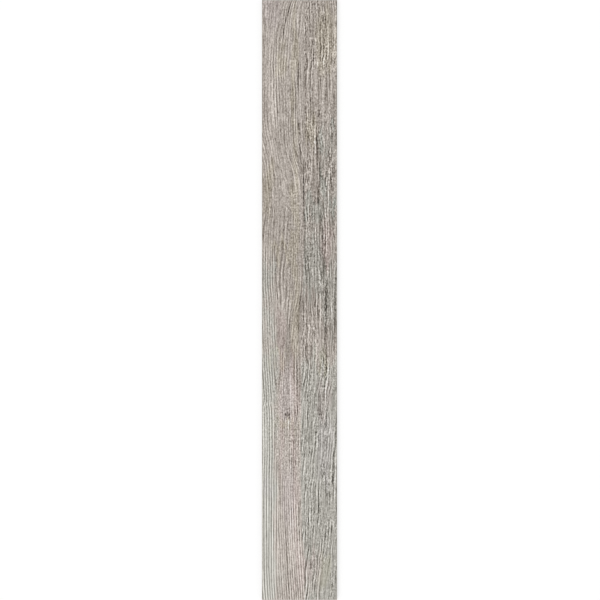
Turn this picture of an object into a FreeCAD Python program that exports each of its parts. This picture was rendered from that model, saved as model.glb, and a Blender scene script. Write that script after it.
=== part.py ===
import FreeCAD
import Part

import os

# One rectified porcelain plank tile, lying on its back with the printed face up.
# Millimetres. The origin is the middle of the plane that the back ribs stand on,
# +Y runs along the plank and +Z points out of the face.

# Body
plank_length = 1200.0
plank_width = 150.0
plank_thickness = 10.0  # from the feet of the back ribs to the face
arris_bevel = 0.8  # 45 degree bevel that is ground round the face

# Keying grid pressed into the back
pocket_pitch = 33.0  # from one pocket's middle to the next
rib_width = 4.0  # flat foot of a rib between two pockets
pocket_depth = 0.6
wall_draft = 0.5  # how far a pocket's wall leans in over its depth
least_margin = 8.0  # narrowest plain border round the grid


def pocket_count(side):
    """How many pockets fit along one side between the two plain borders."""
    return int((side - 2 * least_margin + rib_width) // pocket_pitch)


def pocket_middles(side):
    """The pockets' middles along one side, with the whole grid centred on the body."""
    count = pocket_count(side)
    first = -(count - 1) * pocket_pitch / 2
    return [first + index * pocket_pitch for index in range(count)]


def make_body():
    """The plain slab with the ground bevel round its face."""
    slab = Part.makeBox(
        plank_width,
        plank_length,
        plank_thickness,
        FreeCAD.Vector(-plank_width / 2, -plank_length / 2, 0),
    )
    face = max(slab.Faces, key=lambda side: side.CenterOfMass.z)
    return slab.makeChamfer(arris_bevel, face.Edges)


def make_pocket(middle_x, middle_y):
    """One square pocket: wide at the back plane and narrower at its floor."""
    half_mouth = (pocket_pitch - rib_width) / 2
    half_floor = half_mouth - wall_draft
    corners = ((-1, -1), (1, -1), (1, 1), (-1, 1), (-1, -1))

    def ring(half_side, height):
        return Part.makePolygon(
            [
                FreeCAD.Vector(middle_x + sx * half_side, middle_y + sy * half_side, height)
                for sx, sy in corners
            ]
        )

    return Part.makeLoft([ring(half_mouth, 0), ring(half_floor, pocket_depth)], True, True)


def make_plank():
    """The fired tile: one solid, with every pocket cut out of its back."""
    pockets = [
        make_pocket(x, y) for x in pocket_middles(plank_width) for y in pocket_middles(plank_length)
    ]
    return make_body().cut(Part.makeCompound(pockets)).Solids[0]


def main():
    os.makedirs("parts", exist_ok=True)
    plank = make_plank()
    plank.exportStep("parts/plank_tile.step")
    rows, columns = pocket_count(plank_length), pocket_count(plank_width)
    print(f"plank_tile: {rows} rows of {columns} pockets, {plank.Volume / 1000:.1f} cm3")


main()
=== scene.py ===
import math

import bmesh
import bpy
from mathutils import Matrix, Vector


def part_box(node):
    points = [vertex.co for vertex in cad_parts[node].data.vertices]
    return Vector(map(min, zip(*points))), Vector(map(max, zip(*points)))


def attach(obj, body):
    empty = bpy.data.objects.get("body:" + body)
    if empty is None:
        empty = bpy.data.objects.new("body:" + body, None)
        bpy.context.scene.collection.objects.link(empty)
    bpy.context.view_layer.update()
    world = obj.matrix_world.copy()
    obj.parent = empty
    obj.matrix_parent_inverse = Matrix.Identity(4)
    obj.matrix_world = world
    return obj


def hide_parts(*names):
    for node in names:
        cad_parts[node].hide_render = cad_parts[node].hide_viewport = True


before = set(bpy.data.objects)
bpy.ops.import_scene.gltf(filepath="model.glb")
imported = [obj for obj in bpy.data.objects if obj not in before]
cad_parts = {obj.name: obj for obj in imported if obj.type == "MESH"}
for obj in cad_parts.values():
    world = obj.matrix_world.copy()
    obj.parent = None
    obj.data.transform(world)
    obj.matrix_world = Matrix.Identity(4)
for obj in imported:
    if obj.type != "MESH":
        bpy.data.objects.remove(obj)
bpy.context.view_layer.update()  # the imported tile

tileLow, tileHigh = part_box("plank_tile")
mm = 0.001
plankLength = round((tileHigh.y - tileLow.y) / mm)
print("Frame loaded, tile runs from", tuple(tileLow), "to", tuple(tileHigh))


# Node helpers

colourSteps = 255
gamma = 2.2
noiseSpread = 9.5  # brings most of a noise to between -2 and 2
lineSpread = 9.3  # the same for grain lines


class Wire:  # one output of a node, so that sums on it add Math nodes
    def __init__(self, tree, socket=None):
        self.tree = tree
        self.socket = socket

    def node(self, kind, settings=None, values=None, out=0):
        made = self.tree.nodes.new(kind)
        for name, setting in (settings or {}).items():
            if name == "points":  # a curve's points, as places from 0 to 1
                fillCurve(made.mapping, setting)
            else:
                setattr(made, name, setting)
        for key, value in (values or {}).items():
            if isinstance(value, Wire):
                self.tree.links.new(value.socket, made.inputs[key])
            else:
                made.inputs[key].default_value = value
        return Wire(self.tree, made.outputs[out])

    def maths(self, operation, *values):
        return self.node("ShaderNodeMath", {"operation": operation}, dict(enumerate(values)))

    def vector(self, operation, *values, out=0):
        return self.node("ShaderNodeVectorMath", {"operation": operation}, dict(enumerate(values)), out)

    def __add__(self, other):
        return self.maths("ADD", self, other)

    def __sub__(self, other):
        return self.maths("SUBTRACT", self, other)

    def __rsub__(self, other):
        return self.maths("SUBTRACT", other, self)

    def __mul__(self, other):
        return self.maths("MULTIPLY", self, other)

    __radd__ = __add__
    __rmul__ = __mul__


def fillCurve(mapping, points):
    line = mapping.curves[0]
    line.points[0].location = points[0]
    line.points[1].location = points[-1]
    for spot in points[1:-1]:
        line.points.new(*spot)
    mapping.update()


def dot(place, row):  # a weighted sum of a place's three numbers
    return place.vector("DOT_PRODUCT", place, row, out="Value")


def fade(value, start, end):  # 0 at start and 1 at end, with a soft turn at both
    return value.node(
        "ShaderNodeMapRange",
        {"interpolation_type": "SMOOTHSTEP"},
        {"Value": value, "From Min": start, "From Max": end},
    )


def blend(first, second, share):
    return first + (second - first) * share


def flat(x, y):  # a place on the face
    return x.node("ShaderNodeCombineXYZ", values={"X": x, "Y": y, "Z": 1.0})


def drawnOut(place, across, along, seed):  # the place scaled for a pattern that is long along the grain
    return place.vector("MULTIPLY_ADD", place, (1 / across, 1 / along, 0), (seed * 7.3, seed * 3.1, 0))


def cloud(place, across, along, seed, detail=2.0, roughness=0.5):  # noise drawn out along the grain
    noise = place.node("ShaderNodeTexNoise", {"noise_dimensions": "2D"}, {
        "Vector": drawnOut(place, across, along, seed),
        "Scale": 1.0, "Detail": detail, "Roughness": roughness})
    return (noise - 0.5) * noiseSpread


def streaks(place, across, along, spacing, seed):  # short grain lines side by side, spaced across the grain
    lines = place.node("ShaderNodeTexGabor", {"gabor_type": "2D"}, {
        "Vector": drawnOut(place, across, along, seed),
        "Scale": 1.0, "Frequency": across / spacing, "Anisotropy": 1.0, 4: 0.0})  # 4 is the way they run
    return (lines - 0.5) * lineSpread


def ridges(place, across, spacing, wander, seed):  # parallel grain lines, from -1 to 1
    drift = cloud(place, 26, 210, seed, 1.0) * wander + cloud(place, 9, 60, seed + 5, 0.0) * (wander / 4)
    return place.maths("SINE", across * (math.tau / spacing) + drift)


def crack(place, across, along, seed, width):  # thin lines that wander along the grain
    return fade(place.maths("ABSOLUTE", cloud(place, across, along, seed, 1.0)), width, 0.0)


def toUnit(steps):
    return [step / colourSteps for step in steps]


def alongPlank(y, points, least, most):  # a value that changes along the plank, within two bounds
    places = [(spot / plankLength + 0.5, (value - least) / (most - least)) for spot, value in points]
    share = y.node("ShaderNodeFloatCurve", {"points": places}, {"Value": y * (1 / plankLength) + 0.5})
    return share * (most - least) + least


def newMaterial(name):
    material = bpy.data.materials.new(name)
    material.use_nodes = True
    return material


def dress(material, finish, shown, roughness, height):  # joins the worked-out looks to the shader
    start = Wire(material.node_tree)
    colour = start.node("ShaderNodeGamma", values={"Color": shown, "Gamma": gamma})
    bump = start.node("ShaderNodeBump", values={
        "Strength": 1.0, "Distance": finish["bump"], "Height": height})
    shader = material.node_tree.nodes["Principled BSDF"]
    for name, wire in {"Base Color": colour, "Roughness": roughness, "Normal": bump}.items():
        material.node_tree.links.new(wire.socket, shader.inputs[name])
    shader.inputs["Specular IOR Level"].default_value = finish["specular"]


# Studio

studio = {
    "lens": 100,
    "sensor": 36,
    "viewShift": 1 * mm,  # the photo's middle lies this far right of the tile's
    "skyStrength": 0.68,
    "lampStrength": 1.1,
    "lampTilt": (38, -24, 0),  # degrees from straight down
    "lampSpread": 30,  # degrees that the soft lamp covers
    "floorSize": 12,
    "floorDrop": 0.2 * mm,  # so that it doesn't cut through the feet of the ribs
    "floorRoughness": 0.9,
    "floorColour": (0.45, 0.45, 0.45),
    "floorGlow": 0.6,
}


def makeCamera():
    lens = bpy.data.cameras.new("camera")
    lens.lens = studio["lens"]
    lens.sensor_width = studio["sensor"]
    camera = bpy.data.objects.new("camera", lens)
    tileLength = tileHigh.y - tileLow.y
    height = tileLength * studio["lens"] / studio["sensor"]  # the tile fills the picture's height
    middle = (tileLow + tileHigh) / 2
    camera.location = (middle.x + studio["viewShift"], middle.y, tileHigh.z + height)
    bpy.context.scene.collection.objects.link(camera)
    bpy.context.scene.camera = camera


def seenDirectly(start):  # 1 where the camera, a reflection or glass looks at it
    rays = [start.node("ShaderNodeLightPath", out=name) for name in (
        "Is Camera Ray", "Is Glossy Ray", "Is Transmission Ray")]
    return start.maths("MAXIMUM", start.maths("MAXIMUM", rays[0], rays[1]), rays[2])


def makeSky():
    world = bpy.data.worlds.new("sky")
    bpy.context.scene.world = world
    world.use_nodes = True
    start = Wire(world.node_tree)
    strength = seenDirectly(start) * (1 - studio["skyStrength"]) + studio["skyStrength"]
    background = world.node_tree.nodes["Background"]
    background.inputs["Color"].default_value = (1, 1, 1, 1)
    world.node_tree.links.new(strength.socket, background.inputs["Strength"])


def makeLamp():
    lamp = bpy.data.lights.new("softLamp", "SUN")
    lamp.energy = studio["lampStrength"]
    lamp.angle = math.radians(studio["lampSpread"])
    holder = bpy.data.objects.new("softLamp", lamp)
    holder.rotation_euler = [math.radians(turn) for turn in studio["lampTilt"]]
    bpy.context.scene.collection.objects.link(holder)


def makeFloor():
    half = studio["floorSize"] / 2
    mesh = bpy.data.meshes.new("studioFloor")
    corners = [(-half, -half, 0), (half, -half, 0), (half, half, 0), (-half, half, 0)]
    mesh.from_pydata(corners, [], [(0, 1, 2, 3)])
    floor = bpy.data.objects.new("studioFloor", mesh)
    floor.location.z = tileLow.z - studio["floorDrop"]
    bpy.context.scene.collection.objects.link(floor)
    material = newMaterial("paleFloor")
    nodes = material.node_tree.nodes
    start = Wire(material.node_tree)
    shader = nodes["Principled BSDF"]
    shader.inputs["Base Color"].default_value = (*studio["floorColour"], 1)
    shader.inputs["Roughness"].default_value = studio["floorRoughness"]
    shader.inputs["Specular IOR Level"].default_value = 0.0
    glow = start.node("ShaderNodeEmission", values={"Strength": studio["floorGlow"]})
    surface = Wire(material.node_tree, shader.outputs[0])
    lit = start.node("ShaderNodeAddShader", values={0: surface, 1: glow})
    mixed = start.node("ShaderNodeMixShader", values={0: seenDirectly(start), 1: surface, 2: lit})
    material.node_tree.links.new(mixed.socket, nodes["Material Output"].inputs["Surface"])
    mesh.materials.append(material)


bpy.context.scene.view_settings.view_transform = "Standard"
makeCamera()
makeSky()
makeLamp()
makeFloor()
print("Studio ready")


# Tile mesh

tileShape = {
    "bevel": 0.8 * mm,  # ground arris round the face
    "facesAcross": 220,
    "facesAlong": 399,  # a multiple of the strips that the face is baked in
    "pocketPitch": 33 * mm,
    "ribWidth": 4 * mm,
    "pocketDepth": 0.6 * mm,
    "wallDraft": 0.5 * mm,
    "leastMargin": 8 * mm,
}


printSlot, bodySlot = 0, 1  # the tile's two materials


def spread(low, high, count):
    return [low + (high - low) * step / count for step in range(count + 1)]


def pocketEdges(side):  # the two mouth edges of each pocket along one side, from the middle outwards
    count = int((side - 2 * tileShape["leastMargin"] + tileShape["ribWidth"]) // tileShape["pocketPitch"])
    first = -(count - 1) * tileShape["pocketPitch"] / 2
    half = (tileShape["pocketPitch"] - tileShape["ribWidth"]) / 2
    middles = [first + step * tileShape["pocketPitch"] for step in range(count)]
    return [middle + sign * half for middle in middles for sign in (-1, 1)]


def addFace(build, corners, material, smooth=False):
    face = build.faces.new(corners)
    face.material_index = material
    face.smooth = smooth


def ringOf(grid):  # the vertices along a grid's border, in order
    return (grid[0][:-1] + [row[-1] for row in grid[:-1]]
            + grid[-1][:0:-1] + [row[0] for row in grid[:0:-1]])


def buildPrintedSide(build):  # the fine grid that carries the print, and its rim in order
    inset = tileShape["bevel"]
    across = spread(tileLow.x + inset, tileHigh.x - inset, tileShape["facesAcross"])
    along = spread(tileLow.y + inset, tileHigh.y - inset, tileShape["facesAlong"])
    grid = [[build.verts.new((x, y, tileHigh.z)) for x in across] for y in along]
    for row, above in zip(grid, grid[1:]):
        for spot in range(len(row) - 1):
            addFace(build, (row[spot], row[spot + 1], above[spot + 1], above[spot]), printSlot, True)
    return ringOf(grid)


def outwards(spot, height, inset):  # a rim vertex moved out to the sides
    reach = inset * 1.01  # a little over the inset, against rounding

    def moved(place, low, high):
        return low if place < low + reach else high if place > high - reach else place

    return Vector((moved(spot.x, tileLow.x, tileHigh.x), moved(spot.y, tileLow.y, tileHigh.y), height))


def buildSides(build, rim):  # bevel and side walls below the rim
    inset = tileShape["bevel"]
    rings = [rim]
    for height in (tileHigh.z - inset, tileLow.z):
        rings.append([build.verts.new(outwards(vert.co, height, inset)) for vert in rim])
    for upper, lower in zip(rings, rings[1:]):
        for spot in range(len(rim)):
            after = (spot + 1) % len(rim)
            addFace(build, (upper[spot], lower[spot], lower[after], upper[after]), bodySlot)
    return rings[-1]


def buildPocket(build, mouth):  # four leaning walls and a floor
    depth, draft = tileShape["pocketDepth"], tileShape["wallDraft"]
    middle = sum((vert.co for vert in mouth), Vector()) / 4
    floor = []
    for vert in mouth:
        inwards = middle - vert.co
        lean = Vector((math.copysign(draft, inwards.x), math.copysign(draft, inwards.y), depth))
        floor.append(build.verts.new(vert.co + lean))
    for spot in range(4):
        after = (spot + 1) % 4
        addFace(build, (mouth[spot], mouth[after], floor[after], floor[spot]), bodySlot)
    addFace(build, floor, bodySlot)


def buildBack(build, rim):  # ribs and pockets inside a plain border
    across = pocketEdges(tileHigh.x - tileLow.x)
    along = pocketEdges(tileHigh.y - tileLow.y)
    grid = [[build.verts.new((x, y, tileLow.z)) for x in across] for y in along]
    for j, (row, above) in enumerate(zip(grid, grid[1:])):
        for i in range(len(row) - 1):
            corners = (row[i], above[i], above[i + 1], row[i + 1])  # seen from below
            if i % 2 == 0 and j % 2 == 0:
                buildPocket(build, corners)
            else:
                addFace(build, corners, bodySlot)
    edges = []
    for ring in (rim, ringOf(grid)):
        for spot, vert in enumerate(ring):
            after = ring[(spot + 1) % len(ring)]
            edges.append(build.edges.get((vert, after)) or build.edges.new((vert, after)))
    filled = bmesh.ops.triangle_fill(build, use_beauty=True, edges=edges, normal=(0, 0, -1))
    for face in filled["geom"]:
        if isinstance(face, bmesh.types.BMFace):
            face.material_index = bodySlot
            face.smooth = False


def buildTile():
    build = bmesh.new()
    faceRim = buildPrintedSide(build)
    backRim = buildSides(build, faceRim)
    buildBack(build, backRim)
    bmesh.ops.recalc_face_normals(build, faces=build.faces)
    for edge in build.edges:
        edge.smooth = all(face.material_index == printSlot for face in edge.link_faces)
    mesh = bpy.data.meshes.new("plankTile")
    build.to_mesh(mesh)
    build.free()
    tile = bpy.data.objects.new("plankTile", mesh)
    bpy.context.scene.collection.objects.link(tile)
    return tile


# Texture map: the long face in three strips side by side, the back and the sides above them

tileMap = {
    "square": 480 * mm,  # what one side of the map covers at full size
    "strips": 3,
    "margin": 2 * mm,
    "gap": 4 * mm,  # between two strips
    "backPlace": 405 * mm,
    "sidePlaces": (466 * mm, 472 * mm),  # right and left long side
    "lengthScale": 0.39,  # of the back and the long sides, to fit their length
    "endPlaces": (2 * mm, 156 * mm),  # head and foot
    "endColumn": 458 * mm,
}


def unrolled(height):  # way up the side wall and on over the bevel
    corner = tileHigh.z - tileShape["bevel"]
    return height if height <= corner else corner + (height - corner) * math.sqrt(2)


def facePlace(spot, strip):
    inset = tileShape["bevel"]
    width = tileHigh.x - tileLow.x - 2 * inset + tileMap["gap"]
    length = (tileHigh.y - tileLow.y - 2 * inset) / tileMap["strips"]
    across, along = spot.x - tileLow.x - inset, spot.y - tileLow.y - inset
    return tileMap["margin"] + strip * width + across, tileMap["margin"] + along - strip * length


def bodyPlace(spot, normal):  # on the back, a long side or an end
    across, along = spot.x - tileLow.x, spot.y - tileLow.y
    small = tileMap["lengthScale"]
    if normal.z < -0.5:
        return tileMap["margin"] + along * small, tileMap["backPlace"] + across * small
    rise, most = unrolled(spot.z), unrolled(tileHigh.z)
    right, left = tileMap["sidePlaces"]
    head, foot = tileMap["endPlaces"]
    if abs(normal.x) > abs(normal.y):
        up = right + rise * small if normal.x > 0 else left + (most - rise) * small
        return tileMap["margin"] + along * small, up
    if normal.y > 0:
        return tileMap["endColumn"] + rise, head + across
    return tileMap["endColumn"] + most - rise, foot + across


def mapTile(mesh):
    layer = mesh.uv_layers.new(name="OFBake")
    rows = tileShape["facesAlong"] // tileMap["strips"]
    places = []
    for count, face in enumerate(mesh.polygons):
        strip = count // tileShape["facesAcross"] // rows
        for loop in face.loop_indices:
            spot = mesh.vertices[mesh.loops[loop].vertex_index].co
            printed = face.material_index == printSlot
            mapped = facePlace(spot, strip) if printed else bodyPlace(spot, face.normal)
            places.extend(place / tileMap["square"] for place in mapped)
    layer.uv.foreach_set("vector", places)


tile = buildTile()
mapTile(tile.data)
print("Tile mesh:", len(tile.data.polygons), "faces")


# Wood print

woodPrint = {
    "warm": (8.7, -0.3, -8.7),  # how far red, green and blue lie from the tone, in steps of 0 to 255
    "greyer": (-4.5, 2, 2.2),  # what full weathering adds to that
    "lift": 3.5,  # steps by which every tone is raised
    "shoulder": (204, 0.25),  # tones past the first lose the second's share of what lies beyond
    "darkest": 0.05,
    "palest": 0.97,
    "roughness": 0.62,
    "specular": 0.35,
    "bump": 0.12 * mm,
    "markStrength": 1.3,
    "stripEdge": -48,  # inner edge of the strip of straight lines
    # Stretches of wood, each with the places between which it fades in across (x) and along (y) the plank
    "stretches": {
        # left board
        "strip": (("x", -44, -56),),
        "linesFaint": (("y", 142, 90),),
        "linesFull": (("y", -100, -190),),
        "stripSpecks": (("y", 130, 90), ("y", -380, -300)),
        "calm": (("x", -38, -20), ("y", 30, 80), ("y", 226, 204)),
        "speckled": (("y", -110, -160), ("y", -370, -300)),
        "bold": (("x", -26, -18), ("y", -300, -360)),
        "steady": (("y", -330, -430),),
        # right board
        "rightSpecks": (("y", 40, 90),),
        "rightEdge": (("x", 40, 52),),
        "closeLines": (("y", -180, -240),),
        "strongLines": (("y", -380, -430),),
        "softer": (("x", 44, 34), ("y", -430, -480)),
        "quiet": (("x", 34, 46), ("y", -470, -530)),
    },
    "toneBounds": (140, 200),  # none of the next three lists goes outside them
    # Mean tone of three lengths of wood, as places along the plank and steps of 0 to 255
    "stripTone": (
        (-600, 187), (-480, 188), (-400, 179), (-320, 185), (-200, 182), (0, 170), (80, 170), (160, 153),
        (240, 158), (320, 178), (400, 180), (480, 178), (600, 172),
    ),
    "middleTone": (
        (-600, 177), (-560, 181), (-480, 186), (-400, 181), (-270, 179), (-170, 172.5), (-90, 161),
        (0, 165), (100, 162), (160, 165), (230, 172), (340, 165), (440, 169), (600, 173),
    ),
    "rightTone": (
        (-600, 172), (-500, 170), (-320, 172), (-240, 169), (-120, 166), (-80, 159), (0, 158), (80, 158),
        (150, 152), (240, 161), (330, 163), (400, 161), (450, 164), (600, 158),
    ),
    # How far each has weathered from warm to grey along the plank
    "stripGrey": (
        (-600, 1), (-110, 0.95), (-80, 0.3), (-40, 0.9), (-5, 0.2), (35, 0.9), (80, 0.3), (130, 0),
        (600, 0),
    ),
    "rightGrey": (
        (-600, 0.8), (-530, 0.45), (-480, 0.82), (-140, 0.84), (-105, 0), (0, 0.05), (25, 0.7),
        (100, 0.75), (150, 0.15), (180, 0.9), (205, 0), (600, 0),
    ),
    "edgeGrey": (
        (-600, 0.95), (-480, 0.84), (-140, 0.84), (-105, 0), (-60, 0.3), (30, 0.7), (75, 0.2), (140, 0),
        (200, 0.5), (250, 0.1), (320, 0.3), (370, 0), (600, 0),
    ),
    "leanBounds": (-20, 20),  # none of the next six goes outside them
    # Places along the plank, and how far the seam or a grain line has moved across by then
    "seam": ((-600, 10), (-500, 9), (-465, 5), (-50, 4.5), (20, 8), (600, 8)),
    "lineShift": (
        (-600, 0.0), (-576, 0.1), (-556, 0.7), (-540, 1.4), (-516, 2.2), (-480, 2.5), (-440, 2.3),
        (-408, 2.2), (-360, 1.9), (-312, 1.6), (-288, 1.0), (-264, 0.5), (-216, 0.3), (-192, -0.9),
        (-168, -1.9), (-144, -1.4), (-110, -0.6), (-72, -1.4), (-40, -1.5), (-10, -0.6), (15, 0.0),
        (600, 0.0),
    ),
    "innerLean": (
        (-600, 13), (-520, 8), (-440, 4), (-360, 2), (-280, 1), (-200, -1), (-120, -1), (-80, 0),
        (-40, 2), (-10, 7), (20, 11), (60, 12), (200, 12), (235, 10), (260, 5), (290, -4), (320, -9),
        (370, -11), (440, -11), (520, -8), (560, -5), (600, 4),
    ),
    "outerLean": (
        (-600, 17), (-560, 14), (-520, 12), (-360, 12), (-280, 14), (-216, 14), (-207, 12.5),
        (-198, 14.5), (-120, 9), (-40, 6), (0, 4), (40, 1), (90, 1), (120, 3), (160, 7), (185, 9),
        (215, 8), (250, 5), (280, 1), (310, -4), (345, -10), (370, -12), (440, -13), (520, -12),
        (600, -8),
    ),
    "rightLean": (
        (-600, -19), (-520, -13), (-440, -6), (-360, -3), (-280, 3), (-200, 8), (-120, 15), (40, 14),
        (120, 13), (200, 11), (280, 13), (360, 13), (440, 13), (520, 16), (600, 14),
    ),
    "stripLean": ((-600, 4), (-350, 4), (-290, -1), (-210, -3), (-120, 3), (0, 0), (150, -2), (600, -2)),
    # Marks: from across, along, to across, along, half width, bow, and how much paler or darker
    "marks": (
        # head of the left board, with the arms of a grain arch
        (-16, 602, -31.5, 544, 1.7, 0.5, -84), (-31.3, 556, -32.5, 518, 1.5, 0, -46),
        (-6, 602, -14, 550, 1.5, -1, -42), (-1, 593, -12.5, 557, 1.4, -1, -38),
        (-12, 563, -13.5, 518, 1.3, 0, -34), (-20, 582, -27, 548, 1.4, -1, 40),
        (-11.5, 594, -12.2, 580, 1.4, 0, 40), (-9, 581, -16, 552, 1.2, 0, 22),
        (-33, 594, -36.5, 571, 1.6, 0, -24), (0, 526, -6.5, 404, 2.3, 2, -30),
        (-0.5, 506, -4, 434, 1.5, 1, -30), (-11.5, 547, -11.6, 521, 1.2, 0, -26),
        (-15.7, 549, -16, 525, 1.2, 0, -22), (-10, 512, -9.7, 480, 1.2, 0, -22),
        (-63, 516, -63, 428, 1.2, 0, 18), (-53.8, 478, -54, 396, 1.2, 0, 16),
        (-43.8, 482, -44, 438, 1.2, 0, 16), (-29.7, 508, -30, 400, 1.2, 0, 18),
        (-19.7, 502, -20, 438, 1.2, 0, 18), (-13.8, 522, -14, 418, 1.1, 0, 16),
        (-42, 390, -42.2, 364, 1.4, 0, -22), (-46, 408, -46, 350, 1.7, 0, -24),
        (-46, 404, -46, 356, 2.0, 0, -16),
        # head of the right board
        (63.7, 562, 64, 495, 1.8, 0, -28), (40.3, 590, 40.7, 567, 1.4, 0, -32),
        (17.5, 592, 17.5, 577, 1.3, 0, -24), (21, 546, 21.3, 527, 1.4, 0, -26),
        (21.2, 508, 21.2, 492, 1.5, 0, -30), (28.5, 497, 28.5, 476, 1.5, 0, -36),
        (59, 604, 63, 545, 1.6, 0, -26), (26, 521, 26, 509, 1.3, 0, -24),
        (47, 495, 47.5, 479, 1.3, 0, -28), (50.2, 468, 50.5, 451, 1.3, 0, -28),
        (21.8, 471, 21.2, 437, 1.4, 0, -30), (24.8, 433, 24.6, 411, 1.6, 0, -38),
        (24, 409, 24, 394, 1.6, 0, -32), (29, 393, 29.2, 376, 1.5, 0, -36),
        (29.7, 371, 30, 354, 1.5, 0, -38), (40.8, 376, 40.8, 363, 1.4, 0, -30),
        (36.3, 306, 36.6, 282, 1.6, 0, -34), (22.3, 424, 22.5, 406, 1.3, 0, 34),
        (46, 399, 46.5, 389, 2.0, 0, 48), (32, 391, 32.3, 377, 1.4, 0, 32),
        (36, 476, 38, 466, 2.2, 0, 40), (39.3, 449, 39.8, 441, 1.5, 0, 32),
        (44.5, 590, 44.7, 583, 1.4, 0, 34), (60, 449, 60.3, 440, 1.5, 0, 28),
        (21, 522.5, 40, 523.5, 1.1, 0, 22), (9, 514, 21, 514, 1.1, 0, -16),
        (10, 485, 33, 487, 1.1, 0, 14), (73.8, 516, 73.8, 466, 1.6, 0, 22),
        # arch, cracks and the open seam
        (-2.7, 366, 0.3, 318, 1.6, 0, -56), (0.2, 323, 1.4, 284, 1.5, 0, -36),
        (17, 352, 17.3, 303, 1.5, 0, -36), (34, 336, 35.3, 290, 2.1, 0, -58),
        (7.8, 286, 8.4, 204, 1.5, 0, -78), (8.4, 242, 8.8, 164, 1.5, 0, -80),
        (12, 170, 12, 140, 1.4, 0, -26), (41, 270, 43.8, 221, 1.7, 0, -32),
        (44.6, 213, 45, 168, 2.2, 0, -24), (36.3, 209, 36.3, 187, 1.4, 0, -38),
        (41.5, 182, 40.5, 134, 2.4, 0, -34), (29.5, 334, 30, 321, 1.7, 0, 44),
        (30, 319, 31, 311, 1.7, 0, 36), (27, 311, 28, 303, 1.6, 0, 30), (29.5, 302, 33, 291, 1.6, 0, 34),
        (-66.5, 320, -50, 223, 1.5, 1.7, 26), (-60, 324, -53, 282, 1.3, 0.5, 20),
        (-53, 272, -51, 188, 2.0, 1.5, -20), (-22, 320, -7.5, 264, 1.5, -2, -24),
        (-13, 305, 5.5, 249, 1.4, -3, 24), (-10, 302, 3, 257, 1.4, -2, -26),
        (0, 272, 8, 245, 1.5, 0, -38), (-10, 260, -4.5, 230, 1.4, 0, 24),
        (-23, 308, -21.5, 288, 1.3, 0, 26), (-18, 216, -1, 219.5, 1.0, 0, 28),
        (-17, 208, -2, 213.5, 1.0, 0, 32), (-19, 202, -1, 211, 1.1, 0, 32),
        (-17, 198, -4, 205, 1.0, 0, 24), (-16, 212, -3, 216.5, 0.9, 0, -22),
        (-17, 204, -4, 210, 0.9, 0, -24), (-29, 193, -15, 175, 1.1, 0, -30),
        (-31, 190, -20, 177, 1.2, 0, 26), (-27, 196, -15, 181, 1.0, 0, 22), (-7, 151, 3, 157, 1.1, 0, 20),
        (65.3, 285, 65.5, 276, 1.6, 0, 50), (63.7, 185, 63.8, 177, 1.6, 0, 52),
        (57, 263, 58.5, 247, 1.6, 0, 34), (53.7, 169, 53.8, 149, 1.5, 0, 38),
        (15, 186, 19.5, 192, 1.6, 0, 36), (35, 166, 35.3, 154, 1.6, 0, 32),
        (37, 134, 37.3, 126, 1.5, 0, 36), (21, 284, 21.3, 272, 1.3, 0, -28),
        (27, 244, 27.3, 231, 1.3, 0, -28), (63.7, 254, 63.9, 238, 1.4, 0, -26),
        (29.5, 329, 29.8, 316, 1.4, 0, 26),
        # middle
        (-52, 124, -50, 70, 1.5, 0.5, -36), (-64.7, 117, -65, 58, 1.3, 0, 24),
        (-55.5, 122, -55.4, 94, 1.3, 0, 30), (-20.5, 92, -20.4, 56, 1.4, 0, -34),
        (3, 16, 2, -22, 1.6, -2, -38), (2, -17, -2, -63, 1.7, -2.5, -42),
        (-19.5, 4, -19.5, -15, 1.3, 0, 30), (-19, -37, -18, -73, 1.4, -3, -26),
        (11, 114, 11.2, 55, 1.7, 0, -34), (47, 122, 48.5, 28, 5.5, 0, -16),
        (46, 106, 46.6, 36, 2.1, 0, -30), (54.5, 44, 54.4, -34, 1.4, 0, -56),
        (54, -46, 54, -77, 1.4, 0, -38), (53.5, -87, 53.3, -101, 1.4, 0, -40),
        (51, 32, 50, -82, 4.5, 0, -16), (41, 62, 41.5, 24, 1.3, 0, 36), (57, 60, 57.2, 47, 1.6, 0, 38),
        (73.6, 47, 73.6, 37, 1.4, 0, -44), (39.5, -18, 39.7, -26, 1.5, 0, -52),
        (-33, -88, -33, -99, 1.4, 0, -32), (23.7, -85, 24, -124, 1.4, 0, -32),
        (3.7, -75, 4, -83, 1.3, 0, -26), (12, -49, 12.3, -57, 1.4, 0, 32),
        (35.3, -86, 35.6, -93, 1.5, 0, 40), (46, -81, 57, -83, 1.1, 0, 20),
        (60, 108, 60.5, 84, 1.4, 0, 26), (65, 76, 65.2, 60, 1.4, 0, 28),
        (-47, 118, -46.8, 78, 1.2, 0, 20),
        # knot and the stretch below it
        (-52.3, -118, -52.3, -275, 1.4, 0, 26), (-29.7, -131, -29.5, -205, 1.3, 0, 24),
        (-18, -120, -17.8, -270, 1.2, 0, 20), (-8, -114, -7.8, -203, 1.3, 0, 32),
        (-12, -100, -12, -202, 1.3, 0, -36), (-12, -204, -12, -264, 1.4, 0, 46),
        (-10, -206, -10, -246, 1.3, 0, -32), (-5.2, -104, -5, -206, 1.7, 0, -44),
        (-4, -200, -4, -238, 1.4, 0, -44), (-14, -120, -14, -270, 1.1, 0, 20),
        (7, -224, 7, -268, 1.4, 0, -30), (3.5, -181, 3.7, -205, 1.2, 0, 22),
        (-38.5, -138, -43, -192, 1.4, 0, -34), (-11, -234, -11, -266, 1.3, 0, -28),
        (-20, -204, -20, -224, 1.3, 0, -22), (-26.5, -203, -25.5, -227, 1.2, 0, -24),
        (-28.2, -225, -28, -234, 1.8, 0, -66), (-24.5, -223, -24.5, -241, 5.5, 0, -16),
        (-26, -224, -26, -241, 1.5, 0, -28), (-22, -225, -22, -234, 1.7, 0, -56),
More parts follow.
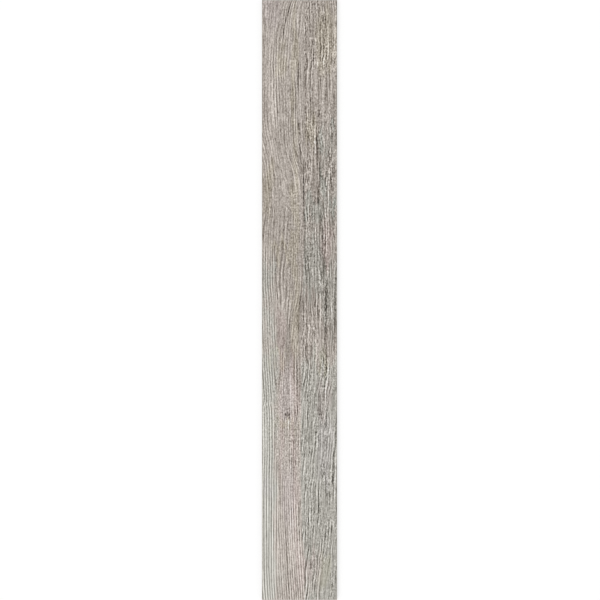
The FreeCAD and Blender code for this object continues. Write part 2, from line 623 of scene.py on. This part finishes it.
        (-20, -223, -20, -240, 1.7, 0, -52), (-28.5, -239, -27, -248, 1.8, 0, 34),
        (-22, -239.5, -22, -249, 1.7, 0, 48), (-24, -232, -24, -239, 1.3, 0, 22),
        (-30, -217, -20, -216.5, 1.4, 2, -26), (-34, -241, -34, -272, 1.3, 0, -28),
        (-19.7, -244, -19.5, -272, 1.3, 0, -26), (-22, -236, -22, -268, 1.3, 0, 28),
        (-2.3, -247, -2, -256, 1.6, 0, -28), (-15.5, -269, -13, -281, 2.6, 0, 34),
        (-31, -282, 6, -282.5, 1.7, 0, -28), (-28, -259, 2, -259.5, 1.6, 0, -16),
        (-30, -271, 4, -271, 1.6, 0, -26), (-30, -308, 4, -309, 1.6, 0, -17),
        (-28, -322, 2, -322.5, 1.6, 0, -17), (-24, -347, 2, -348, 1.6, 0, -13),
        (-26, -296, 0, -296, 1.2, 0, 10), (33, -206, 33.2, -215, 1.7, 0, -42),
        (42, -185, 42.3, -216, 1.5, 0, -34), (67, -300, 66, -350, 1.7, 0, -30),
        (42, -328, 42.3, -337, 1.5, 0, -34), (20, -300, 20.5, -309, 1.5, 0, -28),
        (34.5, -203, 31, -208, 1.3, 0, 34), (-63.5, -204, -66, -212, 1.2, 0, 26),
        (-70, -206, -72, -216, 1.2, 0, 26), (-57, -202, -59, -210, 1.1, 0, 22),
        # foot
        (22, -470, 22.2, -513, 1.5, 0, -46), (23.7, -514, 22.7, -557, 1.4, 0, -32),
        (29.5, -527, 29.8, -552, 1.6, 0, -32), (10, -477, 10, -489, 1.4, 0, 36),
        (-0.7, -412, -0.3, -496, 1.3, 0, -30), (-2.2, -450, -2, -466, 1.3, 0, 36),
        (-28.5, -456, -28.5, -471, 1.4, 0, -26), (-27.5, -408, -22.5, -588, 2.3, 0, -28),
        (40, -395, 40.3, -425, 1.4, 0, -32), (44.5, -428, 44.6, -455, 1.4, 0, -32),
        (10, -414, 10, -429, 1.4, 0, -26), (-31, -390, -31, -409, 1.3, 0, -28),
        (60, -382, 60.5, -403, 1.4, 0, -24), (73.7, -366, 73.7, -389, 1.5, 0, -36),
        (-42, -448, -42, -480, 1.3, 0, -26), (-66, -456, -66, -482, 1.2, 0, -28),
        (-32, -554, -31.8, -575, 1.3, 0, 30), (-21.5, -551, -21, -587, 1.3, 0, -28),
        (-15, -531, -14.7, -562, 1.3, 0, -26), (30, -562, 29.5, -590, 1.4, 0, -40),
    ),
    # Marks of the same kind that are printed but not pressed
    "printedMarks": (
        (-2.6, 366, -0.6, 322, 1.6, 0, -46), (0.2, 338, 2.8, 282, 1.8, 0, -54),
        (0.8, 300, 5, 256, 1.6, 0, -38), (8.2, 264, 8.6, 172, 1.5, 0, -38), (9, 190, 9, 130, 1.6, 0, -44),
        (8.5, 140, 10, 78, 1.6, 0, -38), (17, 348, 17.3, 296, 1.5, 0, -44),
        (27.3, 388, 27.6, 346, 1.6, 0, -52), (39, 384, 39, 356, 1.5, 0, -44),
        (34.5, 322, 35, 292, 1.5, 0, 24), (39.5, 284, 41.5, 236, 1.6, 0, -34),
        (43, 4, 43, -62, 1.5, 0, 54), (45, 182, 45, 152, 1.5, 0, -46),
        (46.5, 150, 48.5, 100, 1.8, 0, -44), (43, 62, 43.5, 30, 1.5, 0, -44),
        (40, 62, 40, 22, 2.0, 0, 34), (53, 36, 53, -62, 1.4, 0, -40), (50.8, 4, 50.8, -66, 1.3, 0, 28),
        (59, 318, 59, 254, 1.5, 0, -44), (70, 286, 70, 226, 2.2, 0, -42), (73, 344, 73, 298, 1.5, 0, -46),
        (65, 344, 65, 300, 1.5, 0, -36), (63, 262, 62, 222, 1.5, 0, -36),
        (-30, -412, -24, -560, 3.2, 0, -13), (69.4, 62, 69.6, -150, 2.0, 0, -50),
        (65.2, 30, 65, -70, 1.5, 0, 36), (-6, 572, -6, 418, 1.5, 0, -34),
        (-18, 424, -18.5, 352, 1.5, 0, 38), (35, 244, 36.5, 176, 1.7, 0, -42),
        (22, 154, 22, 118, 2, 0, 38), (30.5, 154, 31, 116, 2, 0, 38), (54, 124, 55, 58, 2.2, 0, 40),
        (60, 94, 60, 62, 1.6, 0, 30), (16, 124, 16.3, -2, 1.6, 0, -40), (13.6, 64, 14, 0, 1.4, 0, 34),
        (46.5, 66, 47, 24, 1.5, 0, -36), (-22.5, 34, -23.5, -32, 1.7, 0, -34),
        (-46, 92, -46, 24, 1.6, 0, 48), (-2, -30, -2, -92, 1.6, 0, -30),
        (-2, -146, -2, -212, 1.5, 0, -34), (24, -28, 24, -92, 1.6, 0, 34),
        (42, -204, 42.2, -244, 1.7, 0, -66), (64, -206, 64, -304, 1.6, 0, 42),
        (18, -236, 18, -304, 1.6, 0, -38), (50, -326, 50, -362, 1.5, 0, -54),
        (54, -356, 54.2, -422, 1.5, 0, -48), (40, -388, 38.5, -446, 1.6, 0, -50),
        (0, -386, 0, -452, 1.5, 0, -38), (6, -386, 6, -452, 1.5, 0, 38), (12, -328, 12, -362, 1.5, 0, 38),
        (67.4, -300, 66.4, -330, 1.7, 0, -40), (67.5, -338, 65.5, -378, 1.8, 0, -46),
        (53.5, -446, 50, -500, 1.6, 0, -42),
    ),
    "stainEdge": (1.35, 0.5),  # shares of a stain's half size between which it fades in
    # Stains: the tint, then each one's middle across, along and half sizes
    "stains": (
        ((1, 1, -4), (
            (-10, 470, 7, 160), (-9, 180, 7, 130), (-9, -20, 9, 110), (-36, 470, 6, 40),
            (52, 520, 24, 70), (-64, 225, 12, 50), (-30, 105, 32, 16), (22, 335, 14, 34),
            (-26, -250, 30, 14), (-40, -112, 20, 14), (52, -545, 12, 36), (48, -128, 16, 14),
        )),
        ((0, -1, 2), (
            (-58, 575, 22, 40), (50, -300, 16, 70), (-66, -372, 10, 34), (-25, -180, 14, 60),
            (-22, -400, 12, 80),
        )),
        ((2, -1.5, 0), (
            (-37, -280, 6, 100), (-9, -340, 6, 240), (12, -535, 26, 26), (52, 112, 14, 30),
            (48, -200, 14, 40), (-9, -160, 10, 60), (-37, -90, 8, 60),
        )),
        ((-5, 1, 1), ((64, 345, 6, 14), (46, 310, 8, 20), (48, 245, 5, 30), (70, 190, 8, 20))),
        ((-1.5, 0.5, 0.5), ((-38, -565, 12, 34),)),
        ((-7, -7, -7), ((-8, 480, 20, 62), (-36, 325, 14, 32))),
        ((9, 9, 9), ((-8, 325, 17, 34),)),
        ((5, 5, 5), (
            (-36, 530, 14, 70), (-36, -235, 14, 50), (-8, -330, 14, 45), (24, -560, 14, 34),
            (60, -322, 14, 34),
        )),
    ),
}


def makeMarkGroup(treeType):  # adds a tapered stroke, which a mark's two rows place on the tile, to a sum
    group = bpy.data.node_groups.new("woodMark" + treeType, treeType)
    inputs = {
        "Place": "Vector", "Across": "Vector", "Along": "Vector",
        "Bow": "Float", "Tone": "Float", "Sum": "Float",
    }
    for name, kind in inputs.items():
        group.interface.new_socket(name, in_out="INPUT", socket_type="NodeSocket" + kind)
    group.interface.new_socket("Sum", in_out="OUTPUT", socket_type="NodeSocketFloat")
    start = Wire(group)
    given = {name: start.node("NodeGroupInput", out=name) for name in inputs}
    along = dot(given["Place"], given["Along"])
    bend = 1 - along * along
    across = dot(given["Place"], given["Across"]) - given["Bow"] * bend
    mask = start.maths("MAXIMUM", bend - across * across, 0.0)
    total = start.maths("MULTIPLY_ADD", mask, given["Tone"], given["Sum"])
    group.links.new(total.socket, group.nodes.new("NodeGroupOutput").inputs["Sum"])
    return group


def addMark(place, group, mark, total):
    fromX, fromY, toX, toY, halfWidth, bow, tone = mark
    reach = math.hypot(toX - fromX, toY - fromY) / 2
    way = Vector((toX - fromX, toY - fromY)) / (2 * reach)
    middle = Vector((fromX + toX, fromY + toY)) / 2
    side = Vector((-way.y, way.x))
    if side.x < 0:
        side = -side
    return place.node(groupKind(group), {"node_tree": group}, {
        "Place": place,
        "Across": (*(side / halfWidth), -side.dot(middle) / halfWidth),
        "Along": (*(way / reach), -way.dot(middle) / reach),
        "Bow": bow / halfWidth, "Tone": tone * woodPrint["markStrength"], "Sum": total,
    })


def groupKind(group):
    return "ShaderNodeGroup" if group.bl_idname == "ShaderNodeTree" else "GeometryNodeGroup"


def makeMarkSet(treeType, stroke, marks):  # a few dozen marks in a group of their own, which builds quickly
    group = bpy.data.node_groups.new("woodMarkSet" + treeType, treeType)
    group.interface.new_socket("Place", in_out="INPUT", socket_type="NodeSocketVector")
    group.interface.new_socket("Sum", in_out="INPUT", socket_type="NodeSocketFloat")
    group.interface.new_socket("Sum", in_out="OUTPUT", socket_type="NodeSocketFloat")
    start = Wire(group)
    place = start.node("NodeGroupInput", out="Place")
    total = Wire(group, place.socket.node.outputs["Sum"])
    for mark in marks:
        total = addMark(place, stroke, mark, total)
    group.links.new(total.socket, group.nodes.new("NodeGroupOutput").inputs["Sum"])
    return group


def sumMarks(place, treeType, marks):
    stroke = makeMarkGroup(treeType)
    total = 0.0
    perGroup = 30
    for first in range(0, len(marks), perGroup):
        chosen = makeMarkSet(treeType, stroke, marks[first:first + perGroup])
        total = place.node(groupKind(chosen), {"node_tree": chosen}, {"Place": place, "Sum": total})
    return total


def leaning(y, name):  # how far across, in millimetres, a grain line has moved
    return alongPlank(y, woodPrint[name], *woodPrint["leanBounds"])


def stretch(x, y, name):  # 1 inside a stretch of wood and 0 outside it
    share, *others = (
        fade(x if way == "x" else y, start, end) for way, start, end in woodPrint["stretches"][name])
    for other in others:
        share = share * other
    return share


# In both boards each pattern's sizes are millimetres, and its factor is the steps of tone that it adds
def leftBoard(place, flow, x, y, inner):  # grain that leans with the cut of the wood
    calm, steady, speckled = (stretch(x, y, name) for name in ("calm", "steady", "speckled"))
    lines = streaks(flow, 15, 150, 4.9, 3) * 13 + streaks(flow, 12, 60, 5.5, 4) * 8
    lines = lines + cloud(flow, 3.0, 80, 6, 1.0) * 9 + cloud(flow, 16, 200, 17, 1.0) * 4
    lines = lines - crack(flow, 13, 200, 19, 0.16) * 18
    lines = lines * (1 - calm * 0.55 - steady * 0.6)
    lines = lines + ridges(flow, x - inner, 4.5, 0.35, 26) * steady * 31
    fine = cloud(flow, 2.2, 14, 5, 1.0) * 8
    fine = fine + cloud(place, 2.2, 3.8, 7, 1.0) * (calm * 4 + speckled * 5 + 11 - steady * 4)
    return lines, fine


def linedStrip(place, across):  # straight regular lines along the left board's outer edge
    straight = ridges(place, across, 4.9, 0.35, 8) * 1.6 + 0.2
    straight = place.maths("MAXIMUM", place.maths("MINIMUM", straight, 1.0), -1.0)
    return straight * (cloud(place, 6, 50, 18, 0.0) * 5 + 38) + cloud(place, 3.0, 120, 9, 1.0) * 7


def rightBoard(place, flow, x, y):  # rough sawn: short torn fibres, calm in some places, flecked in others
    rough = cloud(place, 14, 80, 23, 1.0) * 0.25 + 1
    close = stretch(x, y, "closeLines")
    quiet = stretch(x, y, "quiet") * 0.4
    lines = streaks(flow, 12, 90, 7.6, 11) * (stretch(x, y, "strongLines") * 4 + 13)
    lines = lines + streaks(flow, 11, 40, 4.9, 15) * (close * 4 + 15)
    lines = lines + cloud(flow, 9, 120, 12, 1.0) * (6 - close * 6)
    lines = lines - crack(flow, 10, 120, 24, 0.2) * 26
    fine = cloud(flow, 2.8, 14, 13, 1.0) * 11 + cloud(place, 2.1, 4.0, 16, 1.0) * 14
    fine = fine + fade(cloud(flow, 3.2, 7, 25, 1.0), 1.3, 2.2) * 20
    return lines * (1 - quiet), fine * (rough - quiet)


def woodGrain(position, treeType):  # tones of the print at a place in metres, alike in both kinds of tree
    place = position.vector("MULTIPLY_ADD", position, (1 / mm, 1 / mm, 0), (0, 0, 1))
    x, y = dot(place, (1, 0, 0)), dot(place, (0, 1, 0))

    # Which board, and where the regular lines are
    right = fade(x - leaning(y, "seam") + cloud(place, 60, 45, 1, 1.0) * 0.5, -0.6, 0.6)
    edge = leaning(y, "stripLean") + woodPrint["stripEdge"]
    share = stretch(x, y, "linesFaint") * 0.75 + stretch(x, y, "linesFull") * 0.25
    lined = fade(x - edge, 1.2, -1.2) * share

    # Places across, measured from the grain's own lines
    outer, inner = leaning(y, "outerLean"), leaning(y, "innerLean")
    swayed = x + cloud(place, 22, 90, 2, 1.0) * 0.7 - outer - (inner - outer) * fade(x, -58, -14)
    torn = x + cloud(place, 11, 40, 10, 1.0) * 0.5 - leaning(y, "rightLean")

    leftLines, leftFine = leftBoard(place, flat(swayed, y), x, y, inner)
    leftLines = blend(leftLines, linedStrip(place, x - outer - leaning(y, "lineShift")), lined)
    leftFine = leftFine * (1 - lined * 0.6)
    rightLines, rightFine = rightBoard(place, flat(torn, y), x, y)
    smudged = flat(x + cloud(place, 3, 7, 14, 1.0) * 0.35, y)
    return {
        "place": place, "smudged": smudged, "x": x, "y": y, "right": right,
        "across": blend(swayed, torn, right),
        "lines": blend(leftLines, rightLines, right),
        "fine": blend(leftFine, rightFine, right),
        "marks": sumMarks(smudged, treeType, woodPrint["marks"]),
    }


def boardTone(grain, y, inStrip):  # mean tone of the wood that a place lies in
    middle, strip, right = (
        alongPlank(y, woodPrint[name], *woodPrint["toneBounds"])
        for name in ("middleTone", "stripTone", "rightTone"))
    return blend(blend(middle, strip, inStrip), right, grain["right"])


def boardGrey(grain, x, y, inStrip):  # how far the wood has weathered from warm to grey
    strip, right, edge = (
        alongPlank(y, woodPrint[name], 0, 1) for name in ("stripGrey", "rightGrey", "edgeGrey"))
    return blend(strip * inStrip, blend(right, edge, stretch(x, y, "rightEdge")), grain["right"])


def grainTone(grain, inStrip):  # steps that the grain adds to the mean tone, stronger in some places
    x, y, right = grain["x"], grain["y"], grain["right"]
    printed = sumMarks(grain["smudged"], "ShaderNodeTree", woodPrint["printedMarks"])
    detail = grain["lines"] + grain["fine"] + grain["marks"] + printed
    bold = stretch(x, y, "bold") * (1 - right)
    deep = x.maths("MINIMUM", detail + 14, 0.0) * right * 0.12
    speckled = inStrip * stretch(x, y, "stripSpecks") + right * stretch(x, y, "rightSpecks")
    specks = cloud(grain["place"], 2.1, 3.8, 29, 1.0) * speckled * 8
    softer = stretch(x, y, "softer") * right * 0.25
    return detail * (bold * 0.3 + 1) + deep + specks - grain["fine"] * softer


def stained(tint, x, y):
    drift = flat(x, y)
    for change, spots in woodPrint["stains"]:
        share = 0.0
        for middleX, middleY, halfX, halfY in spots:
            reach = drift.vector(
                "MULTIPLY_ADD", drift, (1 / halfX, 1 / halfY, 0), (-middleX / halfX, -middleY / halfY, 0))
            share = fade(drift.vector("LENGTH", reach, out="Value"), *woodPrint["stainEdge"]) + share
        share = drift.maths("MINIMUM", share, 1.0)
        tint = drift.vector("MULTIPLY_ADD", share, toUnit(change), tint)
    return tint


def makePrintMaterial():
    material = newMaterial("printedWood")
    start = Wire(material.node_tree)
    grain = woodGrain(start.node("ShaderNodeTexCoord", out="Object"), "ShaderNodeTree")
    place = grain["place"]
    x = grain["x"] + cloud(place, 18, 60, 20, 2.0) * 3
    y = grain["y"] + cloud(place, 9, 60, 21, 2.0) * 12
    inStrip = stretch(x, y, "strip")
    flow = flat(grain["across"], grain["y"])
    fibres = cloud(flow, 0.8, 26, 27, 2.0, 0.6) * 6
    pores = fade(cloud(flow, 0.55, 9, 28, 1.0), 0.7, 1.6) * -26
    tone = boardTone(grain, y, inStrip) + grainTone(grain, inStrip) + fibres + pores + woodPrint["lift"]
    shoulder, held = woodPrint["shoulder"]
    tone = tone - start.maths("MAXIMUM", tone - shoulder, 0.0) * held
    grey = boardGrey(grain, x, y, inStrip)
    tint = start.vector("MULTIPLY_ADD", grey, toUnit(woodPrint["greyer"]), toUnit(woodPrint["warm"]))
    shown = start.vector("MULTIPLY_ADD", tone, toUnit((1, 1, 1)), stained(tint, x, y))
    shown = start.vector("MAXIMUM", shown, (woodPrint["darkest"],) * 3)
    shown = start.vector("MINIMUM", shown, (woodPrint["palest"],) * 3)
    matt = cloud(place, 4, 30, 22, 1.0) * 0.02 + woodPrint["roughness"] - grain["lines"] * 0.0012
    height = grain["fine"] * 0.02 + (fibres + pores) * 0.02
    dress(material, woodPrint, shown, matt, height)
    return material


# Bare stoneware of the bevel, sides and back

stoneware = {
    "body": (151, 142, 129),  # sRGB numbers from 0 to 255
    "kilnWash": (54, 54, 54),  # how much paler the worn white wash on the rib feet is
    "ribWash": 0.12 * mm,  # height over the feet up to which it sits
    "bandSpacing": 58,  # millimetres from one stripe of that wash to the next
    "grindHeight": 2.4,  # millimetres up the side, where the ground part begins
    "roughness": 0.82,
    "specular": 0.3,
    "bump": 0.08 * mm,
}


def speck(place, size, seed):  # even noise in all directions, about -2 to 2
    spot = place.vector("MULTIPLY_ADD", place, (1 / size,) * 3, (seed * 7.3,) * 3)
    noise = place.node("ShaderNodeTexNoise", values={"Vector": spot, "Scale": 1.0, "Detail": 1.0})
    return (noise - 0.5) * noiseSpread


def makeBodyMaterial():
    material = newMaterial("stoneware")
    start = Wire(material.node_tree)
    position = start.node("ShaderNodeTexCoord", out="Object")
    place = position.vector("SCALE", position, (0, 0, 0), (0, 0, 0), 1 / mm)
    height = dot(place, (0, 0, 1))
    side = flat(dot(place, (1, 1, 0)), height)  # way round the sides, and height
    onBack = fade(height, 1.2, 0.9)

    # Wheel marks on the ground part of the sides
    grindLine = height + cloud(side, 30, 0.8, 33) * 0.1 - stoneware["grindHeight"]
    ground = fade(grindLine, -0.1, 0.1)
    wheel = cloud(side, 90, 0.22, 31, 1.0) * 3 + cloud(side, 12, 0.5, 32, 1.0) * 2

    # Body with dark and pale specks
    tone = speck(place, 24, 1) * 2.5 + speck(place, 1.1, 2) * 4 + speck(place, 4, 3) * 2
    tone = tone - fade(speck(place, 1.5, 4), 1.6, 2.1) * 34 + fade(speck(place, 1.3, 5), 1.7, 2.2) * 30
    tone = tone + (1 - onBack) * ground * (wheel + 5)

    # Worn stripes of kiln wash on the rib feet
    worn = fade(speck(place, 2.2, 6) + speck(place, 14, 7), -0.6, 1.0)
    turn = dot(place, (0, math.tau / stoneware["bandSpacing"], 0)) + speck(place, 60, 8)
    bands = fade(start.maths("SINE", turn), 0.2, 0.9)
    washed = fade(height, stoneware["ribWash"] / mm, 0.02) * worn * (bands * 0.5 + 0.5)

    shown = start.vector("MULTIPLY_ADD", tone, toUnit((1, 1, 1)), toUnit(stoneware["body"]))
    shown = start.vector("MULTIPLY_ADD", washed, toUnit(stoneware["kilnWash"]), shown)
    rough = stoneware["roughness"] + speck(place, 3, 9) * 0.03 - ground * 0.12
    dress(material, stoneware, shown, rough, speck(place, 1.1, 2) * 0.3 + wheel * 0.1 * ground)
    return material


tile.data.materials.append(makePrintMaterial())
tile.data.materials.append(makeBodyMaterial())
print("Materials ready:", len(bpy.data.materials["printedWood"].node_tree.nodes), "nodes in the print")


# Relief pressed into the face, where the dark grain lies low

relief = {
    "plain": 0.2,  # millimetres that wood of a middling tone lies below the rim
    "perTone": 0.006,  # millimetres more for each step darker
    "shallowest": 0.02,
    "fineShare": 0.3,
    "markShare": 0.8,
    "deepest": 0.6,
    "rim": 2.0,  # width over which it rises to the flat rim
}


def pressRelief(tile):
    tree = bpy.data.node_groups.new("pressedRelief", "GeometryNodeTree")
    for way in ("INPUT", "OUTPUT"):
        tree.interface.new_socket("Geometry", in_out=way, socket_type="NodeSocketGeometry")
    start = Wire(tree)
    given = start.node("NodeGroupInput", out="Geometry")
    position = start.node("GeometryNodeInputPosition")
    grain = woodGrain(position, "GeometryNodeTree")
    tone = grain["lines"] + grain["fine"] * relief["fineShare"] + grain["marks"] * relief["markShare"]
    depth = relief["plain"] - tone * relief["perTone"]
    depth = start.maths("MINIMUM", start.maths("MAXIMUM", depth, relief["shallowest"]), relief["deepest"])
    fromSide = tileHigh.x / mm - start.maths("ABSOLUTE", grain["x"])
    fromEnd = tileHigh.y / mm - start.maths("ABSOLUTE", grain["y"])
    inset = tileShape["bevel"] / mm
    inside = fade(start.maths("MINIMUM", fromSide, fromEnd), inset, inset + relief["rim"])
    # Only the face's own points lie at the full height
    onFace = start.maths("GREATER_THAN", dot(position, (0, 0, 1)), tileHigh.z - 0.01 * mm)
    offset = start.node("ShaderNodeCombineXYZ", values={"Z": depth * inside * -mm})
    moved = start.node("GeometryNodeSetPosition", values={
        "Geometry": given, "Selection": onFace, "Offset": offset})
    tree.links.new(moved.socket, tree.nodes.new("NodeGroupOutput").inputs["Geometry"])
    tile.modifiers.new("pressedRelief", "NODES").node_group = tree
    graph = bpy.context.evaluated_depsgraph_get()
    pressed = bpy.data.meshes.new_from_object(
        tile.evaluated_get(graph), preserve_all_data_layers=True, depsgraph=graph)
    tile.modifiers.clear()
    tile.data = pressed
    bpy.data.node_groups.remove(tree)


pressRelief(tile)
aboveBevel = tileHigh.z - tileShape["bevel"] * 0.99  # leaves out the ring at the bevel's foot
heights = [vert.co.z for vert in tile.data.vertices if vert.co.z > aboveBevel]
print("Relief pressed, the face now starts at", min(heights))


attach(tile, "root")
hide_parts("plank_tile")
